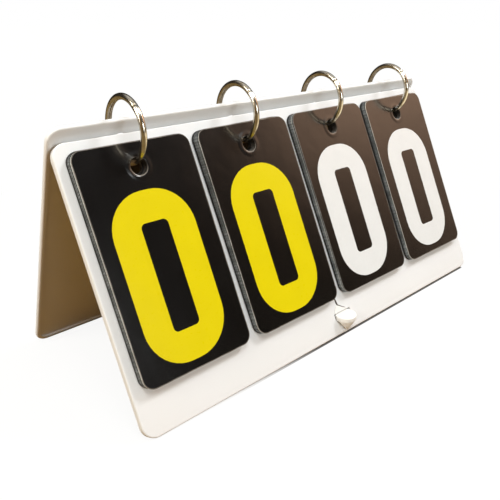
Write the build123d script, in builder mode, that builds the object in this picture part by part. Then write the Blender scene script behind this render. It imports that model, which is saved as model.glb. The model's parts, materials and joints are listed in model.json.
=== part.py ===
from build123d import *
import math
import os

# A desk scoreboard that stands as an A-frame. Two moulded leaves are hinged near their top
# edges, and four hinged book rings round both top edges carry four stacks of number cards.
# The origin is at the middle of the footprint, on the table: X runs to the right as a reader
# sees the front, Y runs to the back and Z is up. All sizes are in millimetres and degrees.

# ---------------------------------------------------------------- driving dimensions

# Stance
FRONT_LEAN = 26.3  # front leaf, from the vertical
REAR_LEAN = 22.6  # rear leaf, from the vertical
FOOT_TRIM = 0.35  # height cut off each leaf's lowest edge, which leaves a flat foot

# Leaves; heights are measured along a leaf from the hinge axis
LEAF_CORNER = 6.0
LEAF_GAP = 3.0  # between the two leaves' rim faces when folded flat
SIDE_MARGIN = 4.5  # leaf beside the outermost cards
FOOT_MARGIN = 18.25  # leaf below the cards
FRONT_ABOVE = 3.4
FRONT_THICKNESS = 2.6
FRONT_RECESS = 1.0
FRONT_RIM = 1.2
FRONT_EDGE_ROUND = 0.6
REAR_ABOVE = 10.4
REAR_THICKNESS = 2.2
REAR_LAND_RECESS = 0.6  # shallow upper part
REAR_RECESS = 1.0  # deeper lower part
REAR_LAND_BELOW = 6.9
REAR_RIM = 1.8
REAR_EDGE_ROUND = 0.8

# Hinge
ROD_DIAMETER = 1.4
ROD_CLEARANCE = 0.05
ROD_GRIP = 0.01  # clearance in the front leaf, which holds the rod
ROD_END_MARGIN = 0.8  # how far the rod stops short of the outermost knuckle's end
BARREL_WALL = 0.75
KNUCKLE_WIDTH = 7.5
KNUCKLE_GAP = 0.3
STOP_LUG_WIDTH = 8.0
STOP_LUG_THICKNESS = 1.2
STOP_LUG_SPACE = 1.0  # between a lug and the knuckle beside it
STOP_CLEARANCE = 0.04

# Cards
CARD_WIDTH = 54.0
CARD_HEIGHT = 93.75
CARD_CORNER = 4.8
CARD_THICKNESS = 0.27
CARD_SPACING = 0.33
STACK_GAP = 5.0  # between neighbouring stacks
STACKS = 4
CARD_HOLE_DIAMETER = 7.5
CARD_HOLE_INSET = 10.0  # from the card's top edge
CARD_HOLE_BELOW = 11.2  # from the hinge axis
CARD_FACE_GAP = 0.2
CARDS_PER_STACK = 10

# Rings; the centre is measured from the hinge axis, along the front leaf and outwards from it
RING_RADIUS = 13.2
WIRE_DIAMETER = 2.2
RING_CENTRE_ABOVE = 4.0
RING_CENTRE_OUT = 6.18
LEAF_HOLE_DIAMETER = 8.0
LEAF_HOLE_BELOW = 9.6
HOLE_BOSS_WALL = 2.0
REAR_SLOT_WIDTH = 6.0
REAR_SLOT_BELOW = 8.4
REAR_SLOT_ABOVE = 4.0

# Places round a ring are angles from straight down the front leaf, turning towards the reader
SPLIT_START = 113.0
SPLIT_END = 127.0
SPLIT_GAP = 0.08
LAP_CLEARANCE = 0.4  # extra angle cut from the rear half's lap
RIVET_ANGLE = -47.5
EYE_DIAMETER = 2.8
EYE_CLEARANCE = 0.15
TONGUE_THICKNESS = 0.8
CHEEK_CLEARANCE = 0.08
RIVET_DIAMETER = 1.0
RIVET_CLEARANCE = 0.02
RIVET_HEAD_DIAMETER = 1.8
RIVET_HEAD_HEIGHT = 0.3

# Latch
PAD_RADIUS = 5.5
PAD_THICKNESS = 2.5
PAD_FORWARD = 3.1  # pad centre, in front of its pin
PAD_EDGE_ROUND = 0.45
LATCH_PIN_ABOVE_FOOT = 9.2
LATCH_PIN_DIAMETER = 1.5
LATCH_PIN_LENGTH = 15.0
LATCH_PIN_CLEARANCE = 0.05
LATCH_PIN_GRIP = 0.01
LATCH_SNAP_WIDTH = 1.3
LATCH_STOP_CLEARANCE = 0.04
LATCH_SLOT_WIDTH = 12.0
LATCH_BOSS_MARGIN = 2.5
LATCH_ARM_WIDTH = 6.0
LATCH_ARM_THICKNESS = 2.2
LATCH_BARB_LENGTH = 1.4
LATCH_BARB_DROP = 1.1
LATCH_PLAY = 0.2
WINDOW_SIDE_CLEARANCE = 1.0
WINDOW_TOP_CLEARANCE = 0.7
WINDOW_CORNER = 0.8

# ---------------------------------------------------------------- what follows from them

CARD_PITCH = CARD_WIDTH + STACK_GAP
LEAF_WIDTH = STACKS * CARD_WIDTH + (STACKS - 1) * STACK_GAP + 2 * SIDE_MARGIN
FRONT_BELOW = CARD_HOLE_BELOW - CARD_HOLE_INSET + CARD_HEIGHT + FOOT_MARGIN

# Depths are along a leaf's normal from the hinge axis, outwards from the wedge between them
RIM_DEPTH = LEAF_GAP / 2
FRONT_FACE = RIM_DEPTH + FRONT_THICKNESS
FRONT_FLOOR = RIM_DEPTH + FRONT_RECESS
REAR_FACE = RIM_DEPTH + REAR_THICKNESS
REAR_LAND = RIM_DEPTH + REAR_LAND_RECESS
REAR_FLOOR = RIM_DEPTH + REAR_RECESS
OPENING = FRONT_LEAN + REAR_LEAN

FRONT_SIN = math.sin(math.radians(FRONT_LEAN))
FRONT_COS = math.cos(math.radians(FRONT_LEAN))
REAR_SIN = math.sin(math.radians(REAR_LEAN))
REAR_COS = math.cos(math.radians(REAR_LEAN))
OPENING_SIN = math.sin(math.radians(OPENING))
OPENING_COS = math.cos(math.radians(OPENING))

# Both leaves stand on the table, each on its inner bottom edge
HINGE_HEIGHT = FRONT_BELOW * FRONT_COS - RIM_DEPTH * FRONT_SIN - FOOT_TRIM
REAR_BELOW = (HINGE_HEIGHT + FOOT_TRIM + RIM_DEPTH * REAR_SIN) / REAR_COS

LATCH_PIN_BELOW = FRONT_BELOW - LATCH_PIN_ABOVE_FOOT
LATCH_PIN_DEPTH = RIM_DEPTH + FRONT_THICKNESS / 2
LATCH_PIN_FORWARD = LATCH_PIN_BELOW * FRONT_SIN + LATCH_PIN_DEPTH * FRONT_COS

FRONT_REACH = LATCH_PIN_FORWARD + PAD_FORWARD + PAD_RADIUS
REAR_FOOT_CENTRE = (REAR_BELOW - REAR_EDGE_ROUND) * REAR_SIN + (REAR_FACE - REAR_EDGE_ROUND) * REAR_COS
REAR_REACH = REAR_FOOT_CENTRE + REAR_EDGE_ROUND
HINGE_SETBACK = (FRONT_REACH - REAR_REACH) / 2

BARREL_RADIUS = ROD_DIAMETER / 2 + BARREL_WALL
STATION_WIDTH = 3 * KNUCKLE_WIDTH + 2 * KNUCKLE_GAP
RING_XS = [(stack - (STACKS - 1) / 2) * CARD_PITCH for stack in range(STACKS)]
OUTER_STATION = (RING_XS[-1] + LEAF_WIDTH / 2) / 2
STATION_XS = [-OUTER_STATION, -CARD_PITCH, 0.0, CARD_PITCH, OUTER_STATION]
ROD_LENGTH = 2 * OUTER_STATION + STATION_WIDTH - 2 * ROD_END_MARGIN
LUG_OFFSET = STATION_WIDTH / 2 + STOP_LUG_SPACE + STOP_LUG_WIDTH / 2
LUG_XS = [station + side * LUG_OFFSET for station, side in ((-CARD_PITCH, -1), (0, -1), (0, 1), (CARD_PITCH, 1))]

STACK_NAMES = ["left_tens", "left_units", "right_tens", "right_units"]

HINGE = Vector(0, HINGE_SETBACK, HINGE_HEIGHT)
FRONT = Plane(origin=HINGE, x_dir=(1, 0, 0), z_dir=(0, -FRONT_COS, FRONT_SIN))
REAR = Plane(origin=HINGE, x_dir=(1, 0, 0), z_dir=(0, -REAR_COS, -REAR_SIN))
LATCH_PIN_CENTRE = FRONT.from_local_coords(Vector(0, -LATCH_PIN_BELOW, LATCH_PIN_DEPTH))


def side_plane(leaf, x):
    """Plane square to the hinge at x, drawn in (height, depth) of the given leaf."""
    return Plane(origin=leaf.origin + Vector(x, 0, 0), x_dir=leaf.y_dir, z_dir=(1, 0, 0))


def ring_plane(x):
    """Plane of the ring at x; its polar angle is the angle round the ring."""
    centre = FRONT.from_local_coords(Vector(x, RING_CENTRE_ABOVE, RING_CENTRE_OUT))
    return Plane(origin=centre, x_dir=-FRONT.y_dir, z_dir=(-1, 0, 0))


def wire_plane(ring, angle):
    """Plane across a ring's wire at an angle; its x runs outwards and its z along the wire."""
    turn = math.radians(angle)
    outwards = ring.x_dir * math.cos(turn) + ring.y_dir * math.sin(turn)
    along = ring.y_dir * math.cos(turn) - ring.x_dir * math.sin(turn)
    return Plane(origin=ring.origin + outwards * RING_RADIUS, x_dir=outwards, z_dir=along)


def save(piece, name):
    """Label a finished piece and write it as a STEP file."""
    piece.part.label = name
    export_step(piece.part, f"parts/{name}.step")


os.makedirs("parts", exist_ok=True)

# ---------------------------------------------------------------- front leaf

LATCH_SLOPE = FRONT_SIN / FRONT_COS
LATCH_HALF_SQUARE = PAD_THICKNESS / 2 + LATCH_STOP_CLEARANCE
LATCH_HALF_DROOPED = (
    FRONT_THICKNESS / 2 * LATCH_SLOPE + PAD_THICKNESS / 2 / FRONT_COS + LATCH_STOP_CLEARANCE
)
LATCH_BOSS_HALF = LATCH_HALF_DROOPED + LATCH_BOSS_MARGIN

# The lug's end lies on the rear leaf's land when the stand is open
LUG_TIP = (FRONT_ABOVE * OPENING_SIN - REAR_LAND + STOP_CLEARANCE) / OPENING_COS
LUG_ROOT = LUG_TIP - STOP_LUG_THICKNESS * OPENING_SIN / OPENING_COS

with BuildPart() as front_leaf:
    with BuildSketch(FRONT.offset(RIM_DEPTH)):
        with Locations((0, (FRONT_ABOVE - FRONT_BELOW) / 2)):
            RectangleRounded(LEAF_WIDTH, FRONT_ABOVE + FRONT_BELOW, LEAF_CORNER)
    extrude(amount=FRONT_THICKNESS)
    front_face = front_leaf.faces().sort_by(Axis(FRONT.origin, FRONT.z_dir))[-1]
    fillet(front_face.edges(), FRONT_EDGE_ROUND)

    # Recess behind the face, with bosses left round the ring holes and the latch
    with BuildSketch(FRONT.offset(RIM_DEPTH)):
        with Locations((0, (FRONT_ABOVE - FRONT_BELOW) / 2)):
            RectangleRounded(
                LEAF_WIDTH - 2 * FRONT_RIM,
                FRONT_ABOVE + FRONT_BELOW - 2 * FRONT_RIM,
                LEAF_CORNER - FRONT_RIM,
            )
        with Locations(*[(x, -LEAF_HOLE_BELOW) for x in RING_XS]):
            Circle(LEAF_HOLE_DIAMETER / 2 + HOLE_BOSS_WALL, mode=Mode.SUBTRACT)
        with Locations((0, -LATCH_PIN_BELOW)):
            Rectangle(LATCH_PIN_LENGTH + 2 * LATCH_BOSS_MARGIN, 2 * LATCH_BOSS_HALF, mode=Mode.SUBTRACT)
    extrude(amount=FRONT_RECESS, mode=Mode.SUBTRACT)

    # Ring holes
    with BuildSketch(FRONT.offset(RIM_DEPTH)):
        with Locations(*[(x, -LEAF_HOLE_BELOW) for x in RING_XS]):
            Circle(LEAF_HOLE_DIAMETER / 2)
    extrude(amount=FRONT_THICKNESS, mode=Mode.SUBTRACT)

    # Outer knuckles of every hinge station
    for station in STATION_XS:
        for start in (-STATION_WIDTH / 2, STATION_WIDTH / 2 - KNUCKLE_WIDTH):
            with BuildSketch(side_plane(FRONT, station + start)):
                Circle(BARREL_RADIUS)
                with Locations((0, FRONT_FLOOR / 2)):
                    Rectangle(2 * BARREL_RADIUS, FRONT_FLOOR)
                Circle(ROD_DIAMETER / 2 + ROD_GRIP, mode=Mode.SUBTRACT)
            extrude(amount=KNUCKLE_WIDTH)

    # Lugs that rest on the rear leaf and hold the stand open
    for lug in LUG_XS:
        with BuildSketch(side_plane(FRONT, lug - STOP_LUG_WIDTH / 2)):
            Polygon(
                (FRONT_ABOVE, FRONT_FLOOR),
                (FRONT_ABOVE, LUG_TIP),
                (FRONT_ABOVE - STOP_LUG_THICKNESS, LUG_ROOT),
                (FRONT_ABOVE - STOP_LUG_THICKNESS, FRONT_FLOOR),
                align=None,
            )
        extrude(amount=STOP_LUG_WIDTH)

    # Latch slot; its slanted walls stop the lever drooped and square to the leaf
    with BuildSketch(side_plane(FRONT, -LATCH_SLOT_WIDTH / 2)):
        Polygon(
            (-LATCH_PIN_BELOW - LATCH_HALF_DROOPED, FRONT_FACE),
            (-LATCH_PIN_BELOW + LATCH_HALF_SQUARE, FRONT_FACE),
            (-LATCH_PIN_BELOW + LATCH_HALF_DROOPED, RIM_DEPTH),
            (-LATCH_PIN_BELOW - LATCH_HALF_SQUARE, RIM_DEPTH),
            align=None,
        )
    extrude(amount=LATCH_SLOT_WIDTH, mode=Mode.SUBTRACT)

    # Seats for the latch pin, open to the back through a narrower snap
    with BuildSketch(side_plane(FRONT, -LATCH_PIN_LENGTH / 2)):
        with Locations((-LATCH_PIN_BELOW, LATCH_PIN_DEPTH)):
            Circle(LATCH_PIN_DIAMETER / 2 + LATCH_PIN_GRIP)
        with Locations((-LATCH_PIN_BELOW, (LATCH_PIN_DEPTH + RIM_DEPTH) / 2)):
            Rectangle(LATCH_SNAP_WIDTH, LATCH_PIN_DEPTH - RIM_DEPTH)
    extrude(amount=LATCH_PIN_LENGTH, mode=Mode.SUBTRACT)

    # Flat foot
    with BuildSketch(Plane.XY):
        Rectangle(2 * LEAF_WIDTH, 2 * LEAF_WIDTH)
    extrude(amount=-FRONT_THICKNESS, mode=Mode.SUBTRACT)
save(front_leaf, "front_leaf")

# ---------------------------------------------------------------- rear leaf

ARM_REACH = LATCH_PIN_DEPTH + REAR_FACE + LATCH_PLAY + LATCH_BARB_LENGTH
WINDOW_TOP = -LATCH_PIN_BELOW + ARM_REACH * FRONT_SIN + LATCH_ARM_THICKNESS / 2 + WINDOW_TOP_CLEARANCE
WINDOW_BOTTOM = -LATCH_PIN_BELOW - LATCH_ARM_THICKNESS / 2 - LATCH_PLAY
WINDOW_WIDTH = LATCH_ARM_WIDTH + 2 * WINDOW_SIDE_CLEARANCE

with BuildPart() as rear_leaf:
    with BuildSketch(REAR.offset(-REAR_FACE)):
        with Locations((0, (REAR_ABOVE - REAR_BELOW) / 2)):
            RectangleRounded(LEAF_WIDTH, REAR_ABOVE + REAR_BELOW, LEAF_CORNER)
    extrude(amount=REAR_THICKNESS)
    rear_faces = rear_leaf.faces().sort_by(Axis(REAR.origin, REAR.z_dir))
    fillet(rear_faces[0].edges() + rear_faces[-1].edges(), REAR_EDGE_ROUND)

    # Recess inside the rim: shallow by the hinge, deeper below it
    for top, recess in ((REAR_ABOVE - REAR_RIM, REAR_LAND_RECESS), (-REAR_LAND_BELOW, REAR_RECESS)):
        with BuildSketch(REAR.offset(-RIM_DEPTH)):
            with Locations((0, (REAR_ABOVE - REAR_BELOW) / 2)):
                RectangleRounded(
                    LEAF_WIDTH - 2 * REAR_RIM,
                    REAR_ABOVE + REAR_BELOW - 2 * REAR_RIM,
                    LEAF_CORNER - REAR_RIM,
                )
            with Locations((0, top)):
                Rectangle(LEAF_WIDTH, 2 * REAR_BELOW, align=(Align.CENTER, Align.MAX), mode=Mode.INTERSECT)
        extrude(amount=-recess, mode=Mode.SUBTRACT)

    # Slots for the rings
    with BuildSketch(REAR.offset(-RIM_DEPTH)):
        with Locations(*[(x, (REAR_SLOT_ABOVE - REAR_SLOT_BELOW) / 2) for x in RING_XS]):
            SlotOverall(REAR_SLOT_ABOVE + REAR_SLOT_BELOW, REAR_SLOT_WIDTH, rotation=90)
    extrude(amount=-REAR_THICKNESS, mode=Mode.SUBTRACT)

    # Middle knuckle of every hinge station
    for station in STATION_XS:
        with BuildSketch(side_plane(REAR, station - KNUCKLE_WIDTH / 2)):
            Circle(BARREL_RADIUS)
            with Locations((0, -REAR_LAND / 2)):
                Rectangle(2 * BARREL_RADIUS, REAR_LAND)
            Circle(ROD_DIAMETER / 2 + ROD_CLEARANCE, mode=Mode.SUBTRACT)
        extrude(amount=KNUCKLE_WIDTH)

    # Window that the latch catches in
    with BuildSketch(REAR.offset(-RIM_DEPTH)):
        with Locations((0, (WINDOW_TOP + WINDOW_BOTTOM) / 2)):
            RectangleRounded(WINDOW_WIDTH, WINDOW_TOP - WINDOW_BOTTOM, WINDOW_CORNER)
    extrude(amount=-REAR_THICKNESS, mode=Mode.SUBTRACT)

    # Flat foot
    with BuildSketch(Plane.XY):
        Rectangle(2 * LEAF_WIDTH, 2 * LEAF_WIDTH)
    extrude(amount=-REAR_THICKNESS, mode=Mode.SUBTRACT)
save(rear_leaf, "rear_leaf")

# ---------------------------------------------------------------- hinge rod

with BuildPart() as hinge_rod:
    with BuildSketch(side_plane(FRONT, -ROD_LENGTH / 2)):
        Circle(ROD_DIAMETER / 2)
    extrude(amount=ROD_LENGTH)
save(hinge_rod, "hinge_rod")

# ---------------------------------------------------------------- latch

LATCH = Plane(origin=LATCH_PIN_CENTRE, x_dir=(0, 1, 0), z_dir=(1, 0, 0))
ARM_HALF = LATCH_ARM_THICKNESS / 2

with BuildPart() as latch_lever:
    with BuildSketch(Plane(LATCH_PIN_CENTRE).offset(-PAD_THICKNESS / 2)):
        with Locations((0, -PAD_FORWARD)):
            Circle(PAD_RADIUS)
    extrude(amount=PAD_THICKNESS)
    fillet(latch_lever.edges().filter_by(GeomType.CIRCLE), PAD_EDGE_ROUND)

    # Arm to the back, with a barb under its end
    with BuildSketch(LATCH.offset(-LATCH_ARM_WIDTH / 2)):
        Polygon(
            (0, ARM_HALF),
            (ARM_REACH - LATCH_BARB_LENGTH / 2, ARM_HALF),
            (ARM_REACH, ARM_HALF - LATCH_BARB_DROP / 2),
            (ARM_REACH, -ARM_HALF),
            (ARM_REACH - LATCH_BARB_LENGTH / 2, -ARM_HALF - LATCH_BARB_DROP),
            (ARM_REACH - LATCH_BARB_LENGTH, -ARM_HALF - LATCH_BARB_DROP),
            (ARM_REACH - LATCH_BARB_LENGTH, -ARM_HALF),
            (0, -ARM_HALF),
            align=None,
        )
    extrude(amount=LATCH_ARM_WIDTH)

    with BuildSketch(LATCH.offset(-PAD_RADIUS)):
        Circle(LATCH_PIN_DIAMETER / 2 + LATCH_PIN_CLEARANCE)
    extrude(amount=2 * PAD_RADIUS, mode=Mode.SUBTRACT)
save(latch_lever, "latch_lever")

with BuildPart() as latch_pin:
    with BuildSketch(LATCH.offset(-LATCH_PIN_LENGTH / 2)):
        Circle(LATCH_PIN_DIAMETER / 2)
    extrude(amount=LATCH_PIN_LENGTH)
save(latch_pin, "latch_pin")

# ---------------------------------------------------------------- rings

WIRE_RADIUS = WIRE_DIAMETER / 2
EYE_REACH = EYE_DIAMETER / 2 + EYE_CLEARANCE
TONGUE_SLOT = TONGUE_THICKNESS + 2 * CHEEK_CLEARANCE
LAP_ANGLE = SPLIT_END - SPLIT_START
FRONT_HALF_ARC = SPLIT_END - RIVET_ANGLE
REAR_HALF_ARC = 360 - SPLIT_START + RIVET_ANGLE

for stack, x in zip(STACK_NAMES, RING_XS):
    ring = ring_plane(x)
    ring_axis = Axis(ring.origin, ring.z_dir)
    rivet = Plane(origin=wire_plane(ring, RIVET_ANGLE).origin, x_dir=ring.x_dir, z_dir=ring.z_dir)

    with BuildPart() as ring_front_half:
        with BuildSketch(wire_plane(ring, RIVET_ANGLE)):
            Circle(WIRE_RADIUS)
        revolve(axis=ring_axis, revolution_arc=FRONT_HALF_ARC)
        # Outer half of the wire cut away for the lap
        with BuildSketch(wire_plane(ring, SPLIT_START)):
            with Locations((WIRE_RADIUS - SPLIT_GAP / 2, 0)):
                Rectangle(WIRE_DIAMETER, 2 * WIRE_DIAMETER)
        revolve(axis=ring_axis, revolution_arc=2 * LAP_ANGLE, mode=Mode.SUBTRACT)
        # Two cheeks with a slot between them for the other half's tongue
        with BuildSketch(rivet.offset(-WIRE_RADIUS)):
            Circle(EYE_DIAMETER / 2)
        extrude(amount=WIRE_DIAMETER)
        with BuildSketch(rivet.offset(-TONGUE_SLOT / 2)):
            Circle(EYE_REACH)
        extrude(amount=TONGUE_SLOT, mode=Mode.SUBTRACT)
        with BuildSketch(rivet.offset(-WIRE_RADIUS)):
            Circle(RIVET_DIAMETER / 2 + RIVET_CLEARANCE)
        extrude(amount=WIRE_DIAMETER, mode=Mode.SUBTRACT)
    save(ring_front_half, f"{stack}_ring_front_half")

    with BuildPart() as ring_rear_half:
        with BuildSketch(wire_plane(ring, SPLIT_START)):
            Circle(WIRE_RADIUS)
        revolve(axis=ring_axis, revolution_arc=REAR_HALF_ARC)
        # Inner half of the wire cut away for the lap
        with BuildSketch(wire_plane(ring, SPLIT_START - LAP_ANGLE)):
            with Locations((SPLIT_GAP / 2 - WIRE_RADIUS, 0)):
                Rectangle(WIRE_DIAMETER, 2 * WIRE_DIAMETER)
        revolve(axis=ring_axis, revolution_arc=2 * LAP_ANGLE + LAP_CLEARANCE, mode=Mode.SUBTRACT)
        # Wire end cut back to a tongue
        for side in (-1, 1):
            with BuildSketch(rivet.offset(side * TONGUE_THICKNESS / 2)):
                Circle(EYE_REACH)
            extrude(amount=side * WIRE_RADIUS, mode=Mode.SUBTRACT)
        with BuildSketch(rivet.offset(-TONGUE_THICKNESS / 2)):
            Circle(EYE_DIAMETER / 2)
        extrude(amount=TONGUE_THICKNESS)
        with BuildSketch(rivet.offset(-TONGUE_THICKNESS / 2)):
            Circle(RIVET_DIAMETER / 2 + RIVET_CLEARANCE)
        extrude(amount=TONGUE_THICKNESS, mode=Mode.SUBTRACT)
    save(ring_rear_half, f"{stack}_ring_rear_half")

    with BuildPart() as ring_rivet:
        with BuildSketch(rivet.offset(-WIRE_RADIUS)):
            Circle(RIVET_DIAMETER / 2)
        extrude(amount=WIRE_DIAMETER)
        for side in (-1, 1):
            with BuildSketch(rivet.offset(side * WIRE_RADIUS)):
                Circle(RIVET_HEAD_DIAMETER / 2)
            extrude(amount=side * RIVET_HEAD_HEIGHT)
    save(ring_rivet, f"{stack}_ring_rivet")

# ---------------------------------------------------------------- cards

for stack, x in zip(STACK_NAMES, RING_XS):
    for digit in range(CARDS_PER_STACK):
        behind = CARDS_PER_STACK - 1 - digit
        with BuildPart() as card:
            with BuildSketch(FRONT.offset(FRONT_FACE + CARD_FACE_GAP + behind * CARD_SPACING)):
                with Locations((x, -CARD_HOLE_BELOW + CARD_HOLE_INSET - CARD_HEIGHT / 2)):
                    RectangleRounded(CARD_WIDTH, CARD_HEIGHT, CARD_CORNER)
                with Locations((x, -CARD_HOLE_BELOW)):
                    Circle(CARD_HOLE_DIAMETER / 2, mode=Mode.SUBTRACT)
            extrude(amount=CARD_THICKNESS)
        save(card, f"{stack}_card_{digit}")
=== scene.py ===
import json
import math

import bmesh
import bpy
from mathutils import Matrix, Vector


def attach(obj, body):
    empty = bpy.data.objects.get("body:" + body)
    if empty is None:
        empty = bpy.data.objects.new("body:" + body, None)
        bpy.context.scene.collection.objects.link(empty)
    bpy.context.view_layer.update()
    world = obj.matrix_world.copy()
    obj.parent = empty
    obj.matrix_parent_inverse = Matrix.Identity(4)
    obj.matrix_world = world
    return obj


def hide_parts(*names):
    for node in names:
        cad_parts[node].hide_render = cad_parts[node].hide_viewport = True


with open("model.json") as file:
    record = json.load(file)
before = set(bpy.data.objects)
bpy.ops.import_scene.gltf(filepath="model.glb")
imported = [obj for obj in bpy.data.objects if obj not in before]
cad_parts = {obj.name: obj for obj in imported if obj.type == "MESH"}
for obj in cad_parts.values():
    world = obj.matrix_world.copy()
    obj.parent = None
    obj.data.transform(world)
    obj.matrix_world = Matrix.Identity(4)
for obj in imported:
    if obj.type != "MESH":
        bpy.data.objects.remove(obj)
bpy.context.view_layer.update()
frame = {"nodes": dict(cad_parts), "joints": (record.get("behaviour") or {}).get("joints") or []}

# A folding desk scoreboard: moulded white leaves, nickel book rings and laminated number cards.
# Lengths are in metres, in the frame of the construction.

STACKS = ["left_tens", "left_units", "right_tens", "right_units"]
INKS = {"left_tens": "yellow", "left_units": "yellow", "right_tens": "white", "right_units": "white"}
STACK_PITCH = 0.059
CARDS = 10

FRONT_LEAN = math.radians(26.3)
REAR_LEAN = math.radians(22.6)
LEAF_FACE = 0.0041  # how far the front leaf's face is from the hinge line

CARD_WIDTH = 0.054
CARD_HEIGHT = 0.09375
CARD_CORNER = 0.0048
CARD_THICKNESS = 0.00027
CARD_SPACING = 0.00033
HOLE_RADIUS = 0.00375
HOLE_BELOW_PIVOT = 0.003157
HOLE_BELOW_TOP = 0.010

JOINT_PLACE = {joint["name"]: Vector(joint["pos_m"]) for joint in frame["joints"]}
HINGE = JOINT_PLACE["stand_fold"]

RIGHT = Vector((1, 0, 0))
UP_FRONT = Vector((0, math.sin(FRONT_LEAN), math.cos(FRONT_LEAN)))
OUT_FRONT = RIGHT.cross(UP_FRONT)
FRONT_TURN = Matrix((RIGHT, UP_FRONT, OUT_FRONT)).transposed().to_4x4()
UP_REAR = Vector((0, -math.sin(REAR_LEAN), math.cos(REAR_LEAN)))
OUT_REAR = RIGHT.cross(UP_REAR)


# ---------------------------------------------------------------- shader maths


class Value:
    """A number socket that works in Python sums; each sum adds its own Math node."""

    def __init__(self, finish, socket):
        self.finish = finish
        self.socket = socket

    def __add__(self, other):
        return self.finish.sum("ADD", self, other)

    def __radd__(self, other):
        return self.finish.sum("ADD", other, self)

    def __sub__(self, other):
        return self.finish.sum("SUBTRACT", self, other)

    def __rsub__(self, other):
        return self.finish.sum("SUBTRACT", other, self)

    def __mul__(self, other):
        return self.finish.sum("MULTIPLY", self, other)

    def __rmul__(self, other):
        return self.finish.sum("MULTIPLY", other, self)

    def __truediv__(self, other):
        return self.finish.sum("DIVIDE", self, other)

    def __pow__(self, other):
        return self.finish.sum("POWER", self, other)

    def __neg__(self):
        return self.finish.sum("MULTIPLY", self, -1.0)

    def __abs__(self):
        return self.finish.sum("ABSOLUTE", self)

    def least(self, other):
        return self.finish.sum("MINIMUM", self, other)

    def most(self, other):
        return self.finish.sum("MAXIMUM", self, other)

    def root(self):
        return self.most(0.0) ** 0.5

    def ramp(self, low, high):
        """0 below low, 1 above high, and smooth between them."""
        settings = {"interpolation_type": "SMOOTHSTEP"}
        sockets = {"Value": self, "From Min": low, "From Max": high}
        return self.finish.value(self.finish.node("ShaderNodeMapRange", settings, sockets), "Result")


class Finish:
    """A material, or the world, and the one way its nodes are made."""

    def __init__(self, name, owner=None):
        self.owner = owner or bpy.data.materials.new(name)
        self.owner.use_nodes = True
        self.tree = self.owner.node_tree
        self.tree.nodes.clear()

    def node(self, kind, settings=None, sockets=None):
        node = self.tree.nodes.new(kind)
        for name, setting in (settings or {}).items():
            setattr(node, name, setting)
        for name, given in (sockets or {}).items():
            self.feed(node.inputs[name], given)
        return node

    def feed(self, socket, given):
        if isinstance(given, Value):
            self.tree.links.new(given.socket, socket)
        elif isinstance(given, bpy.types.NodeSocket):
            self.tree.links.new(given, socket)
        else:
            socket.default_value = given

    def value(self, node, name):
        return Value(self, node.outputs[name])

    def sum(self, operation, *terms):
        """One Math node on up to three numbers or values."""
        node = self.node("ShaderNodeMath", {"operation": operation})
        for socket, term in zip(node.inputs, terms):
            self.feed(socket, term)
        return self.value(node, "Value")

    def place(self):
        """Where a point of the surface is, in the piece's own frame."""
        return self.node("ShaderNodeTexCoord").outputs["Object"]

    def facing(self, direction):
        """How squarely the surface faces a direction, from -1 to 1."""
        normal = self.node("ShaderNodeTexCoord").outputs["Normal"]
        return self.along(normal, direction)

    def along(self, vector, direction):
        """How far a vector reaches in a direction."""
        sockets = {0: vector, 1: tuple(direction)}
        return self.value(self.node("ShaderNodeVectorMath", {"operation": "DOT_PRODUCT"}, sockets), "Value")

    def noise(self, size, detail=2.0, roughness=0.5):
        """Cloudy noise whose lumps are about size metres across, from 0 to 1."""
        sockets = {"Vector": self.place(), "Scale": 1 / size, "Detail": detail, "Roughness": roughness}
        return self.value(self.node("ShaderNodeTexNoise", {}, sockets), "Fac")

    def mix(self, factor, first, second):
        """Colour between first and second."""
        node = self.node("ShaderNodeMix", {"data_type": "RGBA"}, {0: factor, 6: first, 7: second})
        return node.outputs[2]

    def bump(self, height, depth):
        """Normal of a surface raised by height times depth metres."""
        node = self.node("ShaderNodeBump", {}, {"Height": height, "Distance": depth})
        return node.outputs["Normal"]

    def shade(self, sockets, fixed):
        """The surface itself: what varies is linked, and the rest is set once."""
        surface = self.node("ShaderNodeBsdfPrincipled", {}, {**fixed, **sockets})
        self.node("ShaderNodeOutputMaterial", {}, {"Surface": surface.outputs["BSDF"]})
        return self.owner


# ---------------------------------------------------------------- finishes

LEAF_SHADED = (0.79, 0.80, 0.795, 1)
LEAF_BRIGHT = (0.85, 0.863, 0.868, 1)
LEAF_SCUFFED = (0.72, 0.70, 0.65, 1)
# colour of the painted shade in the ring holes and on the rear leaf's inner face
LEAF_PAINTED_SHADE = (0.035, 0.03, 0.026, 1)
BETWEEN_LEAVES = (-0.002, -0.001)  # measured forwards from the hinge line
HOLE_SHADE_FADE = (0.0042, 0.0054)  # from a ring hole's middle: where the painted shade round the hole starts to fade, and ends
SLOT_SHADE_RIGHT = 0.010  # middle of the painted shade patch on the rear leaf's inner face, to the right of its ring slot
SLOT_SHADE_BELOW_HINGE = 0.0145
SLOT_SHADE_HALF_WIDTH = 0.0105
SLOT_SHADE_HALF_HEIGHT = 0.0070


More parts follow.
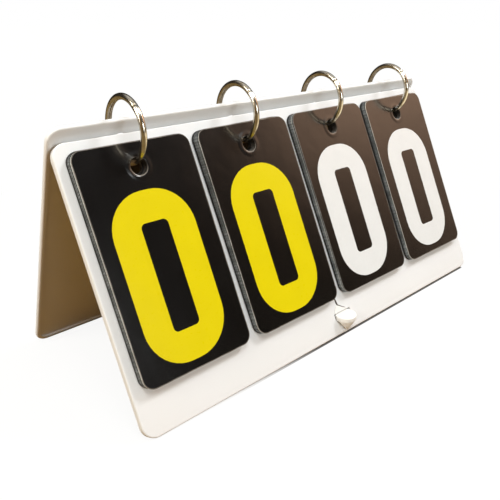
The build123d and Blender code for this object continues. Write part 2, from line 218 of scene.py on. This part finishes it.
def leaf_plastic():
    """White moulded plastic: fine grain and scuffs, with painted shade in and round the front leaf's ring
    holes and a painted shade patch inside the rear leaf at each ring slot.
    """
    finish = Finish("leaf_plastic")
    place = finish.place()
    x = finish.along(place, RIGHT)
    side = finish.sum("WRAP", x, STACK_PITCH, 0.0) - STACK_PITCH / 2
    hole_height = UP_FRONT.dot(JOINT_PLACE["left_tens_card_flip"]) - HOLE_BELOW_PIVOT
    lift = finish.along(place, UP_FRONT) - hole_height
    in_front = (finish.along(place, OUT_FRONT) - OUT_FRONT.dot(HINGE)).ramp(*BETWEEN_LEAVES)
    # painted shade: the front leaf is darkened in and round each ring hole, where the hole's depth lies in
    # shade
    hole_shade = (1 - (side * side + lift * lift).root().ramp(*HOLE_SHADE_FADE)) * in_front
    # painted shade: a dark oval on the rear leaf's inner face, where the view through the ring holes falls
    across = finish.sum("WRAP", x - SLOT_SHADE_RIGHT, STACK_PITCH, 0.0) - STACK_PITCH / 2
    along = finish.along(place, UP_REAR) - UP_REAR.dot(HINGE) + SLOT_SHADE_BELOW_HINGE
    oval = ((across / SLOT_SHADE_HALF_WIDTH) ** 2 + (along / SLOT_SHADE_HALF_HEIGHT) ** 2).root()
    slot_shade = (1 - oval.ramp(0.85, 1.1)) * finish.facing(OUT_REAR).ramp(0.8, 0.9)
    cloud = finish.noise(0.045, 3.0)
    grain = finish.noise(0.00035, 2.0)
    scuff = finish.noise(0.006, 6.0, 0.75).ramp(0.62, 0.78)
    worn = finish.mix(scuff * 0.25, finish.mix(cloud, LEAF_SHADED, LEAF_BRIGHT), LEAF_SCUFFED)
    sockets = {
        "Base Color": finish.mix(hole_shade.most(slot_shade), worn, LEAF_PAINTED_SHADE),
        "Roughness": 0.42 + 0.12 * grain + 0.1 * scuff,
        "Normal": finish.bump(grain * 0.7 + cloud * 0.3, 0.00004),
    }
    return finish.shade(sockets, {"IOR": 1.49})


def latch_plastic():
    """Smoother, brighter white plastic of the latch lever."""
    finish = Finish("latch_plastic")
    cloud = finish.noise(0.004, 3.0)
    grain = finish.noise(0.0003, 2.0)
    sockets = {
        "Base Color": finish.mix(cloud, (0.86, 0.85, 0.81, 1), (0.92, 0.915, 0.89, 1)),
        "Roughness": 0.3 + 0.12 * cloud,
        "Normal": finish.bump(grain, 0.00002),
    }
    return finish.shade(sockets, {"IOR": 1.49})


DIMPLE_TOP = 0.0008  # from the hole's rim: the highest ring of the punch's dimple
DIMPLE_END = 0.0028
FILM_RELIEF = 0.0003


class CardFace:
    """Distances on a card, measured from its hole: the card's own x is to the right and y is up."""

    def __init__(self, finish):
        self.finish = finish
        place = finish.place()
        self.x = finish.along(place, (1, 0, 0))
        self.y = finish.along(place, (0, 1, 0))
        self.reach = (self.x * self.x + self.y * self.y).root()

    def border(self):
        """Distance in from the card's outline, with its round corners."""
        across = abs(self.x) - (CARD_WIDTH / 2 - CARD_CORNER)
        along = abs(self.y - (HOLE_BELOW_TOP - CARD_HEIGHT / 2)) - (CARD_HEIGHT / 2 - CARD_CORNER)
        corner = (across.most(0.0) ** 2 + along.most(0.0) ** 2).root()
        return CARD_CORNER - corner - across.most(along).least(0.0)

    def relief(self):
        """Normal with the film's ripples and the dimple that the punch pulls up beside the hole."""
        ripple = self.finish.noise(0.014, 2.0)
        peel = self.finish.noise(0.0016, 2.0)
        rising = self.reach.ramp(HOLE_RADIUS, HOLE_RADIUS + DIMPLE_TOP)
        lip = rising * (1 - self.reach.ramp(HOLE_RADIUS + DIMPLE_TOP, HOLE_RADIUS + DIMPLE_END))
        pull = lip * (0.6 + 1.3 * (-self.x / self.reach).most(0.0))
        return self.finish.bump(ripple * 0.6 + peel * 0.04 + pull * 0.5, FILM_RELIEF)


CARD_BLACK = (0.0014, 0.0011, 0.0010, 1)
CARD_WORN_BLACK = (0.0028, 0.0022, 0.0019, 1)
FILM_DULL = (0.16, 0.14, 0.12, 1)
FILM_CLEAR = (0.42, 0.38, 0.33, 1)
HOLE_WALL_SHADE = (0.02, 0.018, 0.016, 1)
FILM_MARGIN = (0.00022, 0.00042)  # in from the outline: where the clear margin starts to fade, and ends
HOLE_MARGIN = (0.0002, 0.0004)  # the same round the hole
HOLE_WALL_REACH = (0.001, 0.002)  # out from the hole's rim: where a cut edge is no longer the hole's own, and so no longer painted dark as the hole's shade


def laminated_card(name, dull, clear, rim_share):
    """Black card in glossy film: the two shades of its cut edge, and how much its clear film margin shows.
    The film round the hole has a painted highlight on its lower side, and the hole's own cut edge is painted
    dark as shade.
    """
    finish = Finish(name)
    face = CardFace(finish)
    flat = abs(finish.facing((0, 0, 1))).ramp(0.4, 0.8)
    margin = 1 - face.border().ramp(*FILM_MARGIN)
    from_rim = face.reach - HOLE_RADIUS
    # clear film round the hole, with a painted highlight that makes it brighter on the hole's lower side
    rim = (1 - from_rim.ramp(*HOLE_MARGIN)) * (0.25 + 0.75 * (-face.y / face.reach).ramp(-0.2, 0.5))
    cloud = finish.noise(0.02, 3.0)
    fibre = finish.noise(0.0009, 3.0).ramp(0.35, 0.65)
    bright = finish.noise(0.012, 2.0).ramp(0.35, 0.65)
    black = finish.mix(cloud, CARD_BLACK, CARD_WORN_BLACK)
    film = finish.mix(bright, FILM_DULL, FILM_CLEAR)
    front = finish.mix(margin.most(rim) * rim_share, black, film)
    streak = finish.mix(fibre * bright, dull, clear)
    # painted shade: the cut edge inside the punched hole is darkened
    cut = finish.mix(from_rim.ramp(*HOLE_WALL_REACH), HOLE_WALL_SHADE, streak)
    sockets = {
        "Base Color": finish.mix(flat, cut, front),
        "Roughness": 0.2 + 0.08 * cloud + 0.25 * (1 - flat),
        "Coat Weight": flat * 0.5,
        "Normal": face.relief(),
    }
    return finish.shade(sockets, {"IOR": 1.5, "Coat Roughness": 0.08})


def ink(name, light, deep):
    """Printed digit under the film, with the faint unevenness of the print."""
    finish = Finish(name)
    cloud = finish.noise(0.012, 3.0)
    grain = finish.noise(0.0009, 3.0)
    sockets = {
        "Base Color": finish.mix(cloud, deep, light),
        "Roughness": 0.24 + 0.1 * grain,
        "Coat Weight": 0.2 + 0.1 * grain,
        "Normal": CardFace(finish).relief(),
    }
    return finish.shade(sockets, {"IOR": 1.38, "Coat Roughness": 0.1})


def ring_nickel():
    """Bright nickel plate with drawing marks and a little tarnish."""
    finish = Finish("ring_nickel")
    tarnish = finish.noise(0.004, 4.0, 0.6)
    marks = finish.noise(0.00045, 3.0)
    sockets = {
        "Base Color": finish.mix(tarnish.ramp(0.35, 0.75), (0.74, 0.70, 0.61, 1), (0.46, 0.38, 0.26, 1)),
        "Roughness": 0.1 + 0.16 * tarnish + 0.05 * marks,
        "Normal": finish.bump(marks, 0.000012),
    }
    return finish.shade(sockets, {"Metallic": 1.0})


def pin_steel(name):
    """Drawn steel of the pins and rivets."""
    finish = Finish(name)
    marks = finish.noise(0.0004, 4.0)
    sockets = {
        "Base Color": finish.mix(marks, (0.45, 0.44, 0.43, 1), (0.62, 0.61, 0.59, 1)),
        "Roughness": 0.28 + 0.15 * marks,
        "Normal": finish.bump(marks, 0.00001),
    }
    return finish.shade(sockets, {"Metallic": 1.0})


LEAF = leaf_plastic()
LATCH = latch_plastic()
NICKEL = ring_nickel()
INK = {
    "yellow": ink("yellow_ink", (0.745, 0.62, 0.001, 1), (0.69, 0.57, 0.001, 1)),
    "white": ink("white_ink", (0.77, 0.78, 0.77, 1), (0.71, 0.72, 0.71, 1)),
}
# Besides the laminate's own stripes, clear edges carry painted light on the front cards and dark edges
# painted shade on the last cards near the leaf.
EDGE = {
    "clear": laminated_card("clear_lit_edged_card", (0.56, 0.60, 0.57, 1), (0.80, 0.85, 0.82, 1), 0.6),
    "grey": laminated_card("grey_edged_card", (0.10, 0.12, 0.13, 1), (0.44, 0.48, 0.50, 1), 0.3),
    "dark": laminated_card("dark_shaded_edged_card", (0.010, 0.010, 0.012, 1), (0.06, 0.065, 0.07, 1), 0.08),
}
RIVET = pin_steel("rivet_steel")
PIN = pin_steel("pin_steel")


def finish_of(node):
    """Material of a carried-over node, by its name."""
    if "_card_" in node:
        return EDGE["grey"]
    if node.endswith("_ring_rivet"):
        return RIVET
    if "_ring_" in node:
        return NICKEL
    return {"front_leaf": LEAF, "rear_leaf": LEAF, "latch_lever": LATCH}.get(node, PIN)


for name, node in frame["nodes"].items():
    node.data.materials.clear()
    node.data.materials.append(finish_of(name))


# ---------------------------------------------------------------- digits

# An outline is a list of corners: x and y, and the radius that rounds the corner.
DIGIT_BELOW_HOLE = 0.0448  # middle of a digit, below the hole
DIGIT_LIFT = 0.00003
HALF_WIDTH = 0.0192
HALF_HEIGHT = 0.0352
STROKE_IN = 0.0063  # inner side of the upright strokes
SHELF = 0.0223  # inner side of the top and bottom strokes
BAR_TOP = 0.0064  # upper side of the middle stroke
NOTCH = 0.013  # end of an open stroke
BIG = 0.0173
BEND = 0.012
SMALL = 0.0022
TIP = 0.0012
WAIST_IN = 0.0165  # nick in the right side of the 3
WAIST_HALF = 0.003
WAIST_CORNER = 0.004


def rectangle(left, right, low, high, radius):
    """Outline of a rectangle with round corners."""
    return [(left, high, radius), (right, high, radius), (right, low, radius), (left, low, radius)]


def counter(low, high):
    """The open middle of a digit between two heights."""
    return rectangle(-STROKE_IN, STROKE_IN, low, high, SMALL)


def turned(outline):
    """The outline turned half a turn."""
    return [(-x, -y, radius) for x, y, radius in outline]


OUTER = rectangle(-HALF_WIDTH, HALF_WIDTH, -HALF_HEIGHT, HALF_HEIGHT, BIG)
TWO = [
    (-HALF_WIDTH, HALF_HEIGHT, BIG),
    (HALF_WIDTH, HALF_HEIGHT, BIG),
    (HALF_WIDTH, -BAR_TOP, BEND),
    (-STROKE_IN, -BAR_TOP, SMALL),
    (-STROKE_IN, -SHELF, SMALL),
    (HALF_WIDTH, -SHELF, TIP),
    (HALF_WIDTH, -HALF_HEIGHT, TIP),
    (-HALF_WIDTH, -HALF_HEIGHT, TIP),
    (-HALF_WIDTH, BAR_TOP, BEND),
    (STROKE_IN, BAR_TOP, SMALL),
    (STROKE_IN, SHELF, SMALL),
    (-STROKE_IN, SHELF, SMALL),
    (-STROKE_IN, NOTCH, TIP),
    (-HALF_WIDTH, NOTCH, TIP),
]
ONE = [
    (-0.005, HALF_HEIGHT, 0.003),
    (0.0085, HALF_HEIGHT, TIP),
    (0.0085, -HALF_HEIGHT, TIP),
    (-0.004, -HALF_HEIGHT, TIP),
    (-0.004, 0.0185, TIP),
    (-0.0135, 0.0125, TIP),
    (-0.0135, 0.0265, TIP),
]
THREE = [
    (-HALF_WIDTH, HALF_HEIGHT, BIG),
    (HALF_WIDTH, HALF_HEIGHT, BIG),
    (HALF_WIDTH, WAIST_HALF, WAIST_CORNER),
    (WAIST_IN, 0.0, 0.001),
    (HALF_WIDTH, -WAIST_HALF, WAIST_CORNER),
    (HALF_WIDTH, -HALF_HEIGHT, BIG),
    (-HALF_WIDTH, -HALF_HEIGHT, BIG),
    (-HALF_WIDTH, -NOTCH, TIP),
    (-STROKE_IN, -NOTCH, TIP),
    (-STROKE_IN, -SHELF, SMALL),
    (STROKE_IN, -SHELF, SMALL),
    (STROKE_IN, -BAR_TOP, SMALL),
    (-0.004, -BAR_TOP, TIP),
    (-0.004, BAR_TOP, TIP),
    (STROKE_IN, BAR_TOP, SMALL),
    (STROKE_IN, SHELF, SMALL),
    (-STROKE_IN, SHELF, SMALL),
    (-STROKE_IN, NOTCH, TIP),
    (-HALF_WIDTH, NOTCH, TIP),
]
FOUR = [
    (-HALF_WIDTH, HALF_HEIGHT, TIP),
    (-STROKE_IN, HALF_HEIGHT, TIP),
    (-STROKE_IN, BAR_TOP, SMALL),
    (STROKE_IN, BAR_TOP, SMALL),
    (STROKE_IN, HALF_HEIGHT, TIP),
    (HALF_WIDTH, HALF_HEIGHT, TIP),
    (HALF_WIDTH, -HALF_HEIGHT, TIP),
    (STROKE_IN, -HALF_HEIGHT, TIP),
    (STROKE_IN, -BAR_TOP, SMALL),
    (-HALF_WIDTH, -BAR_TOP, BEND),
]
FIVE = [
    (-HALF_WIDTH, HALF_HEIGHT, TIP),
    (HALF_WIDTH, HALF_HEIGHT, TIP),
    (HALF_WIDTH, SHELF, TIP),
    (-STROKE_IN, SHELF, SMALL),
    (-STROKE_IN, BAR_TOP, SMALL),
    (HALF_WIDTH, BAR_TOP, BEND),
    (HALF_WIDTH, -HALF_HEIGHT, BIG),
    (-HALF_WIDTH, -HALF_HEIGHT, BIG),
    (-HALF_WIDTH, -NOTCH, TIP),
    (-STROKE_IN, -NOTCH, TIP),
    (-STROKE_IN, -SHELF, SMALL),
    (STROKE_IN, -SHELF, SMALL),
    (STROKE_IN, -BAR_TOP, SMALL),
    (-HALF_WIDTH, -BAR_TOP, TIP),
]
SIX = [
    (-HALF_WIDTH, HALF_HEIGHT, BIG),
    (HALF_WIDTH, HALF_HEIGHT, BIG),
    (HALF_WIDTH, NOTCH, TIP),
    (STROKE_IN, NOTCH, TIP),
    (STROKE_IN, SHELF, SMALL),
    (-STROKE_IN, SHELF, SMALL),
    (-STROKE_IN, BAR_TOP, SMALL),
    (HALF_WIDTH, BAR_TOP, BEND),
    (HALF_WIDTH, -HALF_HEIGHT, BIG),
    (-HALF_WIDTH, -HALF_HEIGHT, BIG),
]
SEVEN = [
    (-HALF_WIDTH, HALF_HEIGHT, TIP),
    (HALF_WIDTH, HALF_HEIGHT, TIP),
    (HALF_WIDTH, 0.019, 0.004),
    (0.001, -HALF_HEIGHT, TIP),
    (-0.0125, -HALF_HEIGHT, TIP),
    (0.005, SHELF, TIP),
    (-HALF_WIDTH, SHELF, TIP),
]
DIGITS = [
    [OUTER, counter(-SHELF, SHELF)],
    [ONE],
    [TWO],
    [THREE],
    [FOUR],
    [FIVE],
    [SIX, counter(-SHELF, -BAR_TOP)],
    [SEVEN],
    [OUTER, counter(BAR_TOP, SHELF), counter(-SHELF, -BAR_TOP)],
    [turned(SIX), counter(BAR_TOP, SHELF)],
]


ARC_STEPS = 10
ARC_LIMIT = 0.49  # the most of an outline's side that one corner's arc takes


def rounded(outline):
    """Points of an outline with each corner turned into an arc of its radius."""
    points = []
    count = len(outline)
    for index, (x, y, radius) in enumerate(outline):
        corner = Vector((x, y))
        before = Vector(outline[index - 1][:2]) - corner
        after = Vector(outline[(index + 1) % count][:2]) - corner
        half = before.angle(after) / 2
        cut = min(radius / math.tan(half), ARC_LIMIT * before.length, ARC_LIMIT * after.length)
        before.normalize()
        after.normalize()
        centre = corner + (before + after).normalized() * (cut / math.cos(half))
        first = corner + before * cut - centre
        sweep = math.pi - 2 * half
        turn = sweep if before.cross(after) < 0 else -sweep
        for step in range(ARC_STEPS + 1):
            points.append(centre + Matrix.Rotation(turn * step / ARC_STEPS, 2) @ first)
    return points


def linked(name, data):
    """New object of the scene, holding a mesh, a curve, a lamp or a camera."""
    holder = bpy.data.objects.new(name, data)
    bpy.context.scene.collection.objects.link(holder)
    return holder


def flat_shape(name, outlines, thickness):
    """Thin slab with the given outlines; the outlines after the first are holes in it."""
    curve = bpy.data.curves.new(name, "CURVE")
    curve.dimensions = "2D"
    curve.fill_mode = "BOTH"
    curve.extrude = thickness / 2
    for outline in outlines:
        points = rounded(outline)
        spline = curve.splines.new("POLY")
        spline.points.add(len(points) - 1)
        for point, (x, y) in zip(spline.points, points):
            point.co = (x, y, 0, 1)
        spline.use_cyclic_u = True
    drawn = linked(name, curve)
    bpy.context.view_layer.update()
    mesh = bpy.data.meshes.new_from_object(drawn)
    bpy.data.objects.remove(drawn)
    return linked(name, mesh)


# ---------------------------------------------------------------- cards

# For each stack: how far its digits are printed off the middle, by how many degrees its last card has swung
# to the left at the top, and how the cut edges of its cards look, from the front card to the last.
PRINT_SHIFT = {"left_tens": -0.00135, "left_units": -0.0011, "right_tens": -0.0022, "right_units": -0.0006}
SWING = {"left_tens": 0.15, "left_units": 0.75, "right_tens": 0.6, "right_units": 0.7}
# Besides the laminate's own stripes, these edges grow lighter towards the front cards as painted light and
# darker on the last cards near the leaf as painted shade.
EDGES = {
    "left_tens": ["clear", "clear", "dark", "dark", "grey", "grey", "grey", "dark", "dark", "dark"],
    "left_units": ["clear", "dark", "grey", "grey", "grey", "grey", "grey", "dark", "dark", "dark"],
    "right_tens": ["grey", "dark", "clear", "grey", "grey", "grey", "grey", "dark", "dark", "dark"],
    "right_units": ["clear", "dark", "grey", "grey", "grey", "grey", "dark", "dark", "dark", "dark"],
}

# How the last card has slipped against the first, and how unevenly the cards between them lie.
SLIP_LEFT = 0.0002
SLIP_UP = 0.0006
SHUFFLE_ACROSS = 0.0002
SHUFFLE_ALONG = 0.00012
SHUFFLE_TURN = 2.4


def card_matrix(stack, number):
    """Placement of a card by its hole; cards further back have swung and slipped a little on the ring."""
    hole = JOINT_PLACE[f"{stack}_card_flip"] - UP_FRONT * HOLE_BELOW_PIVOT
    hole = hole - OUT_FRONT * CARD_SPACING * number
    share = number / (CARDS - 1)
    foot = Matrix.Translation((0.0, HOLE_BELOW_TOP - CARD_HEIGHT, 0.0))
    swing = Matrix.Rotation(math.radians(SWING[stack]) * share, 4, "Z")
    wave = math.sin(SHUFFLE_TURN * number + len(stack))
    slip = (share * (SHUFFLE_ACROSS * wave - SLIP_LEFT), share * (SLIP_UP + SHUFFLE_ALONG * wave), 0.0)
    turn = FRONT_TURN @ foot @ swing @ foot.inverted() @ Matrix.Translation(slip)
    return Matrix.Translation(hole) @ turn


def card_sheet(stack, number):
    """One card: a punched sheet with round corners."""
    side = CARD_WIDTH / 2
    sheet = rectangle(-side, side, HOLE_BELOW_TOP - CARD_HEIGHT, HOLE_BELOW_TOP, CARD_CORNER)
    hole = rectangle(-HOLE_RADIUS, HOLE_RADIUS, -HOLE_RADIUS, HOLE_RADIUS, HOLE_RADIUS)
    piece = flat_shape(f"{stack}_sheet_{number}", [sheet, hole], CARD_THICKNESS)
    piece.matrix_world = card_matrix(stack, number)
    piece.data.materials.append(EDGE[EDGES[stack][number]])
    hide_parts(f"{stack}_card_{number}")
    return piece


def printed_digit(stack, number):
    """The number printed on a card."""
    piece = flat_shape(f"{stack}_digit_{number}", DIGITS[number], DIGIT_LIFT)
    middle = (PRINT_SHIFT[stack], -DIGIT_BELOW_HOLE, CARD_THICKNESS / 2 + DIGIT_LIFT / 2)
    piece.data.transform(Matrix.Translation(middle))
    piece.matrix_world = card_matrix(stack, number)
    piece.data.materials.append(INK[INKS[stack]])
    return piece


for stack in STACKS:
    for number in range(CARDS):
        for piece in (card_sheet(stack, number), printed_digit(stack, number)):
            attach(piece, f"{stack}_front_card" if number == 0 else "front_leaf")


# ---------------------------------------------------------------- rings

WIRE_GAIN = 0.00024  # by how much the wire's radius grows
HANGER_NEAR = 0.0030  # up to here from a card's hanger the wire keeps its thickness,
HANGER_FAR = 0.0055  # and from here on it is at its stoutest


def stout_half(stack, half):
    """Half ring of stouter wire: its outer side stays, and it grows inwards, but not where the card hangs."""
    name = f"{stack}_ring_{half}_half"
    wire = f"{name}_wire"
    form = bmesh.new()
    form.from_mesh(frame["nodes"][name].data)
    bmesh.ops.remove_doubles(form, verts=form.verts, dist=0.000001)
    form.normal_update()
    centre = JOINT_PLACE[f"{stack}_ring_turn"]
    hanger = JOINT_PLACE[f"{stack}_card_flip"]
    moves = []
    for corner in form.verts:
        outwards = ((corner.co - centre) * Vector((0, 1, 1))).normalized()
        share = ((corner.co - hanger).length - HANGER_NEAR) / (HANGER_FAR - HANGER_NEAR)
        moves.append((corner.normal - outwards) * WIRE_GAIN * min(1.0, max(0.0, share)))
    for corner, move in zip(form.verts, moves):
        corner.co += move
    for face in form.faces:
        face.smooth = True
    mesh = bpy.data.meshes.new(wire)
    form.to_mesh(mesh)
    form.free()
    mesh.materials.clear()
    mesh.materials.append(NICKEL)
    mesh.set_sharp_from_angle(angle=math.radians(35))
    piece = linked(wire, mesh)
    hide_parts(name)
    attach(piece, f"{stack}_ring")


for stack in STACKS:
    for half in ("front", "rear"):
        stout_half(stack, half)


# ---------------------------------------------------------------- trim at the latch

# A dark strip stands for the shade in a thin curved slit beside the latch lever.
SLIT_LIFT = 0.00004
SLIT = [  # x, height and half width
    (-0.0026, 0.0172, 0.00030),
    (-0.0023, 0.0150, 0.00050),
    (-0.0018, 0.0135, 0.00032),
    (0.0006, 0.0122, 0.00020),
    (0.0033, 0.0110, 0.00005),
]


def latch_slit_shade():
    """Thin dark strip on the front leaf beside the latch lever: painted shade of a thin curved slit."""
    edges = []
    for side in (1, -1):
        for x, height, half in SLIT[::side]:
            up = (height - HINGE.z - LEAF_FACE * OUT_FRONT.z) / UP_FRONT.z
            flat = RIGHT * (x - side * half) + UP_FRONT * (up - side * half)
            edges.append(HINGE + flat + OUT_FRONT * (LEAF_FACE + SLIT_LIFT))
    mesh = bpy.data.meshes.new("latch_slit_shade")
    count = len(SLIT)
    faces = [(i, i + 1, 2 * count - 2 - i, 2 * count - 1 - i) for i in range(count - 1)]
    mesh.from_pydata(edges, [], faces)
    finish = Finish("slit_shadow")
    shade_mottle = finish.noise(0.0006, 3.0)
    tone = finish.mix(shade_mottle, (0.03, 0.022, 0.018, 1), (0.09, 0.075, 0.06, 1))
    mesh.materials.append(finish.shade({"Base Color": tone, "Roughness": 0.7 + 0.2 * shade_mottle}, {"IOR": 1.45}))
    piece = linked("latch_slit_shade", mesh)
    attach(piece, "front_leaf")


BOSS_RISE = 0.0003
BOSS_FOOT = UP_FRONT.dot(JOINT_PLACE["latch_lift"] - HINGE) + 0.00155  # just clear of the lever's top
BOSS = [  # x, distance up the leaf from the hinge, and corner radius
    (-0.0053, BOSS_FOOT, 0.0003),
    (-0.0050, -0.1010, 0.0015),
    (-0.0033, -0.0989, 0.0006),
    (-0.0020, -0.0991, 0.0008),
    (0.0030, -0.1021, 0.0010),
    (0.0052, BOSS_FOOT, 0.0003),
]


def thumb_boss():
    """Slight smooth rise of the front leaf above the latch pad."""
    piece = flat_shape("thumb_boss", [BOSS], BOSS_RISE)
    piece.matrix_world = Matrix.Translation(HINGE + OUT_FRONT * (LEAF_FACE + BOSS_RISE / 2)) @ FRONT_TURN
    piece.data.materials.append(LATCH)
    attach(piece, "front_leaf")


RIB_FORWARD = 0.0031  # top of the rib, ahead of the latch pin
RIB_BELOW_PIN = 0.00125
RIB_TIP = Vector((-0.0004, -0.0478, 0.0019))
RIB_TIP_RADIUS = 0.0004
RIB_SPREAD = 0.0047  # by how much its radius grows from the tip to the top
RIB_TAPER = 0.85
RIB_CLEARANCE = 0.0002  # between the rib's back and the leaf's face
RIB_LEVELS = 8


def latch_rib():
    """Tapering support under the latch pad, down to a point close to the leaf's foot."""
    pin = JOINT_PLACE["latch_lift"]
    top = Vector((0, pin.y - RIB_FORWARD, pin.z - RIB_BELOW_PIN))
    arc = 16
    row = arc + 1
    last = RIB_LEVELS * row
    corners = []
    for level in range(RIB_LEVELS + 1):
        share = level / RIB_LEVELS
        x, y, z = top.lerp(RIB_TIP, share)
        radius = RIB_TIP_RADIUS + RIB_SPREAD * (1 - share) ** RIB_TAPER
        leaf_face = HINGE.y + (z - HINGE.z) * math.tan(FRONT_LEAN) - LEAF_FACE / math.cos(FRONT_LEAN)
        for step in range(row):
            turn = math.pi * step / arc
            front = y - radius * math.sin(turn)
            corners.append((x - radius * math.cos(turn), min(front, leaf_face - RIB_CLEARANCE), z))
    faces = [tuple(range(row)), tuple(reversed(range(last, last + row)))]
    for first in range(0, last, row):
        faces.append((first + arc, first, first + row, first + row + arc))
        for corner in range(first, first + arc):
            faces.append((corner, corner + 1, corner + row + 1, corner + row))
    mesh = bpy.data.meshes.new("latch_rib")
    mesh.from_pydata(corners, [], faces)
    mesh.materials.append(LATCH)
    piece = linked("latch_rib", mesh)
    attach(piece, "latch")


latch_slit_shade()
thumb_boss()
latch_rib()


# ---------------------------------------------------------------- floor, light and camera

TABLE_HALF = 4.0
PALE = (0.93, 0.93, 0.925, 1)
PAPER_GLOW = 1.08
PAPER_FADE = (0.12, 0.30)  # from the board's middle: from where, and up to where, the board's shadow fades
WOOD = (0.25, 0.122, 0.010, 1)
GLOSS_WOOD = (0.16, 0.11, 0.035, 1)
OPEN_FLOOR = (0.43, 0.39, 0.34, 1)
OPEN_GLOSS = (1.0, 0.90, 0.68, 1)
FOOT_SHADOW = (0.11, 0.112, 0.115, 1)

# Soft edges of the open floor in front of the board and of the dark line under the front leaf's foot.
OPEN_BACK = (-0.08, -0.045)
OPEN_LEFT = (-0.125, -0.075)
OPEN_GLOSS_LEFT = (-0.02, 0.10)
FOOT_FRONT = (-0.0485, -0.0482)
FOOT_BACK = (-0.0460, -0.0456)
FOOT_LEFT = (-0.105, -0.015)
FOOT_RIGHT = (0.114, 0.115)


def table():
    """Pale table top: paper white to the eye, while the board mirrors and is lit by its warm wood."""
    mesh = bpy.data.meshes.new("table")
    reach = TABLE_HALF
    corners = [(-reach, -reach, 0), (reach, -reach, 0), (reach, reach, 0), (-reach, reach, 0)]
    mesh.from_pydata(corners, [], [(0, 1, 2, 3)])
    finish = Finish("table_top")
    place = finish.place()
    x = finish.along(place, RIGHT)
    y = finish.along(place, (0, 1, 0))
    ray = finish.node("ShaderNodeLightPath")
    seen = finish.value(ray, "Is Camera Ray")
    mirrored = finish.value(ray, "Is Glossy Ray")
    open_floor = (1 - y.ramp(*OPEN_BACK)) * x.ramp(*OPEN_LEFT)
    gloss = finish.mix(open_floor * x.ramp(*OPEN_GLOSS_LEFT), GLOSS_WOOD, OPEN_GLOSS)
    tone = finish.mix(mirrored, finish.mix(open_floor, WOOD, OPEN_FLOOR), gloss)
    foot = y.ramp(*FOOT_FRONT) * (1 - y.ramp(*FOOT_BACK)) * x.ramp(*FOOT_LEFT) * (1 - x.ramp(*FOOT_RIGHT))
    top = finish.mix(seen * foot, finish.mix(seen, tone, PALE), FOOT_SHADOW)
    surface = finish.node("ShaderNodeBsdfPrincipled", {}, {"Base Color": top, "Roughness": 0.8})
    paper = finish.node("ShaderNodeEmission", {}, {"Color": PALE, "Strength": PAPER_GLOW})
    away = finish.value(finish.node("ShaderNodeVectorMath", {"operation": "LENGTH"}, {0: place}), "Value")
    share = seen * (0.90 + 0.10 * away.ramp(*PAPER_FADE)) * (1 - foot)
    sockets = {0: share, 1: surface.outputs["BSDF"], 2: paper.outputs["Emission"]}
    mixed = finish.node("ShaderNodeMixShader", {}, sockets)
    finish.node("ShaderNodeOutputMaterial", {}, {"Surface": mixed.outputs["Shader"]})
    mesh.materials.append(finish.owner)
    linked("table", mesh)


ROOM_DIM = (0.022, 0.017, 0.012, 1)
ROOM_CEILING = (0.62, 0.61, 0.60, 1)
ROOM_LEFT = (0.22, 0.12, 0.025, 1)
ROOM_WARM = (2.7, 1.72, 1.16, 1)
LEFT_SIDE = Vector((-0.85, -0.25, 0.42)).normalized()
WARM_SIDE = Vector((0.90, -0.30, 0.36)).normalized()


def room():
    """Studio air: white to the eye; what the object mirrors is a dim room with a warm side."""
    world = bpy.data.worlds.new("room")
    bpy.context.scene.world = world
    finish = Finish("room", world)
    direction = finish.node("ShaderNodeTexCoord").outputs["Generated"]
    height = finish.along(direction, (0, 0, 1))
    left = finish.along(direction, LEFT_SIDE).ramp(0.55, 1.0)
    warm = finish.along(direction, WARM_SIDE).ramp(0.85, 0.985) ** 3
    sky = finish.mix(height.ramp(0.58, 0.92), ROOM_DIM, ROOM_CEILING)
    sky = finish.mix(left, sky, ROOM_LEFT)
    sky = finish.mix(warm * (0.3 + 0.7 * height.ramp(0.20, 0.48)), sky, ROOM_WARM)
    seen = finish.value(finish.node("ShaderNodeLightPath"), "Is Camera Ray")
    back = finish.node("ShaderNodeBackground", {}, {"Color": finish.mix(seen, sky, (1, 1, 1, 1))})
    finish.node("ShaderNodeOutputWorld", {}, {"Surface": back.outputs["Background"]})


MIDDLE = Vector((0.0, 0.0, 0.06))
COOL_WHITE = (0.95, 0.985, 1.0)
CREAM_WHITE = (0.99, 0.965, 0.89)
LAMPS = [  # name, place, side, power and colour
    ("key", Vector((0.55, -0.28, 0.80)), 0.20, 4.6, COOL_WHITE),
    ("top_fill", Vector((-0.30, -0.42, 1.00)), 0.35, 4.1, COOL_WHITE),
    ("front_fill", Vector((0.0, -1.00, 0.36)), 0.3, 2.7, COOL_WHITE),
    ("left_fill", Vector((-0.85, 0.10, 0.56)), 0.5, 7.0, CREAM_WHITE),
]


def lamp(name, place, side, power, colour):
    """Square soft light that shines at the board's middle."""
    light = bpy.data.lights.new(name, "AREA")
    light.size = side
    light.energy = power
    light.color = colour
    holder = linked(name, light)
    holder.location = place
    holder.rotation_euler = (MIDDLE - place).to_track_quat("-Z", "Y").to_euler()


CAMERA_PLACE = Vector((-0.2064, -0.19744, 0.15304))
CAMERA_HEADING = math.radians(-42.86)
CAMERA_PITCH = math.radians(-23.36)
CAMERA_ROLL = math.radians(0.16)
CAMERA_FOCUS = 41.22


def camera():
    """Close view from the front left, above the board."""
    lens = bpy.data.cameras.new("camera")
    lens.lens = CAMERA_FOCUS
    lens.sensor_width = 36
    lens.clip_start = 0.01
    holder = linked("camera", lens)
    turn = Matrix.Rotation(CAMERA_HEADING, 4, "Z") @ Matrix.Rotation(math.pi / 2 + CAMERA_PITCH, 4, "X")
    holder.matrix_world = Matrix.Translation(CAMERA_PLACE) @ turn @ Matrix.Rotation(CAMERA_ROLL, 4, "Z")
    bpy.context.scene.camera = holder


table()
room()
for values in LAMPS:
    lamp(*values)
camera()
bpy.context.scene.view_settings.view_transform = "Standard"
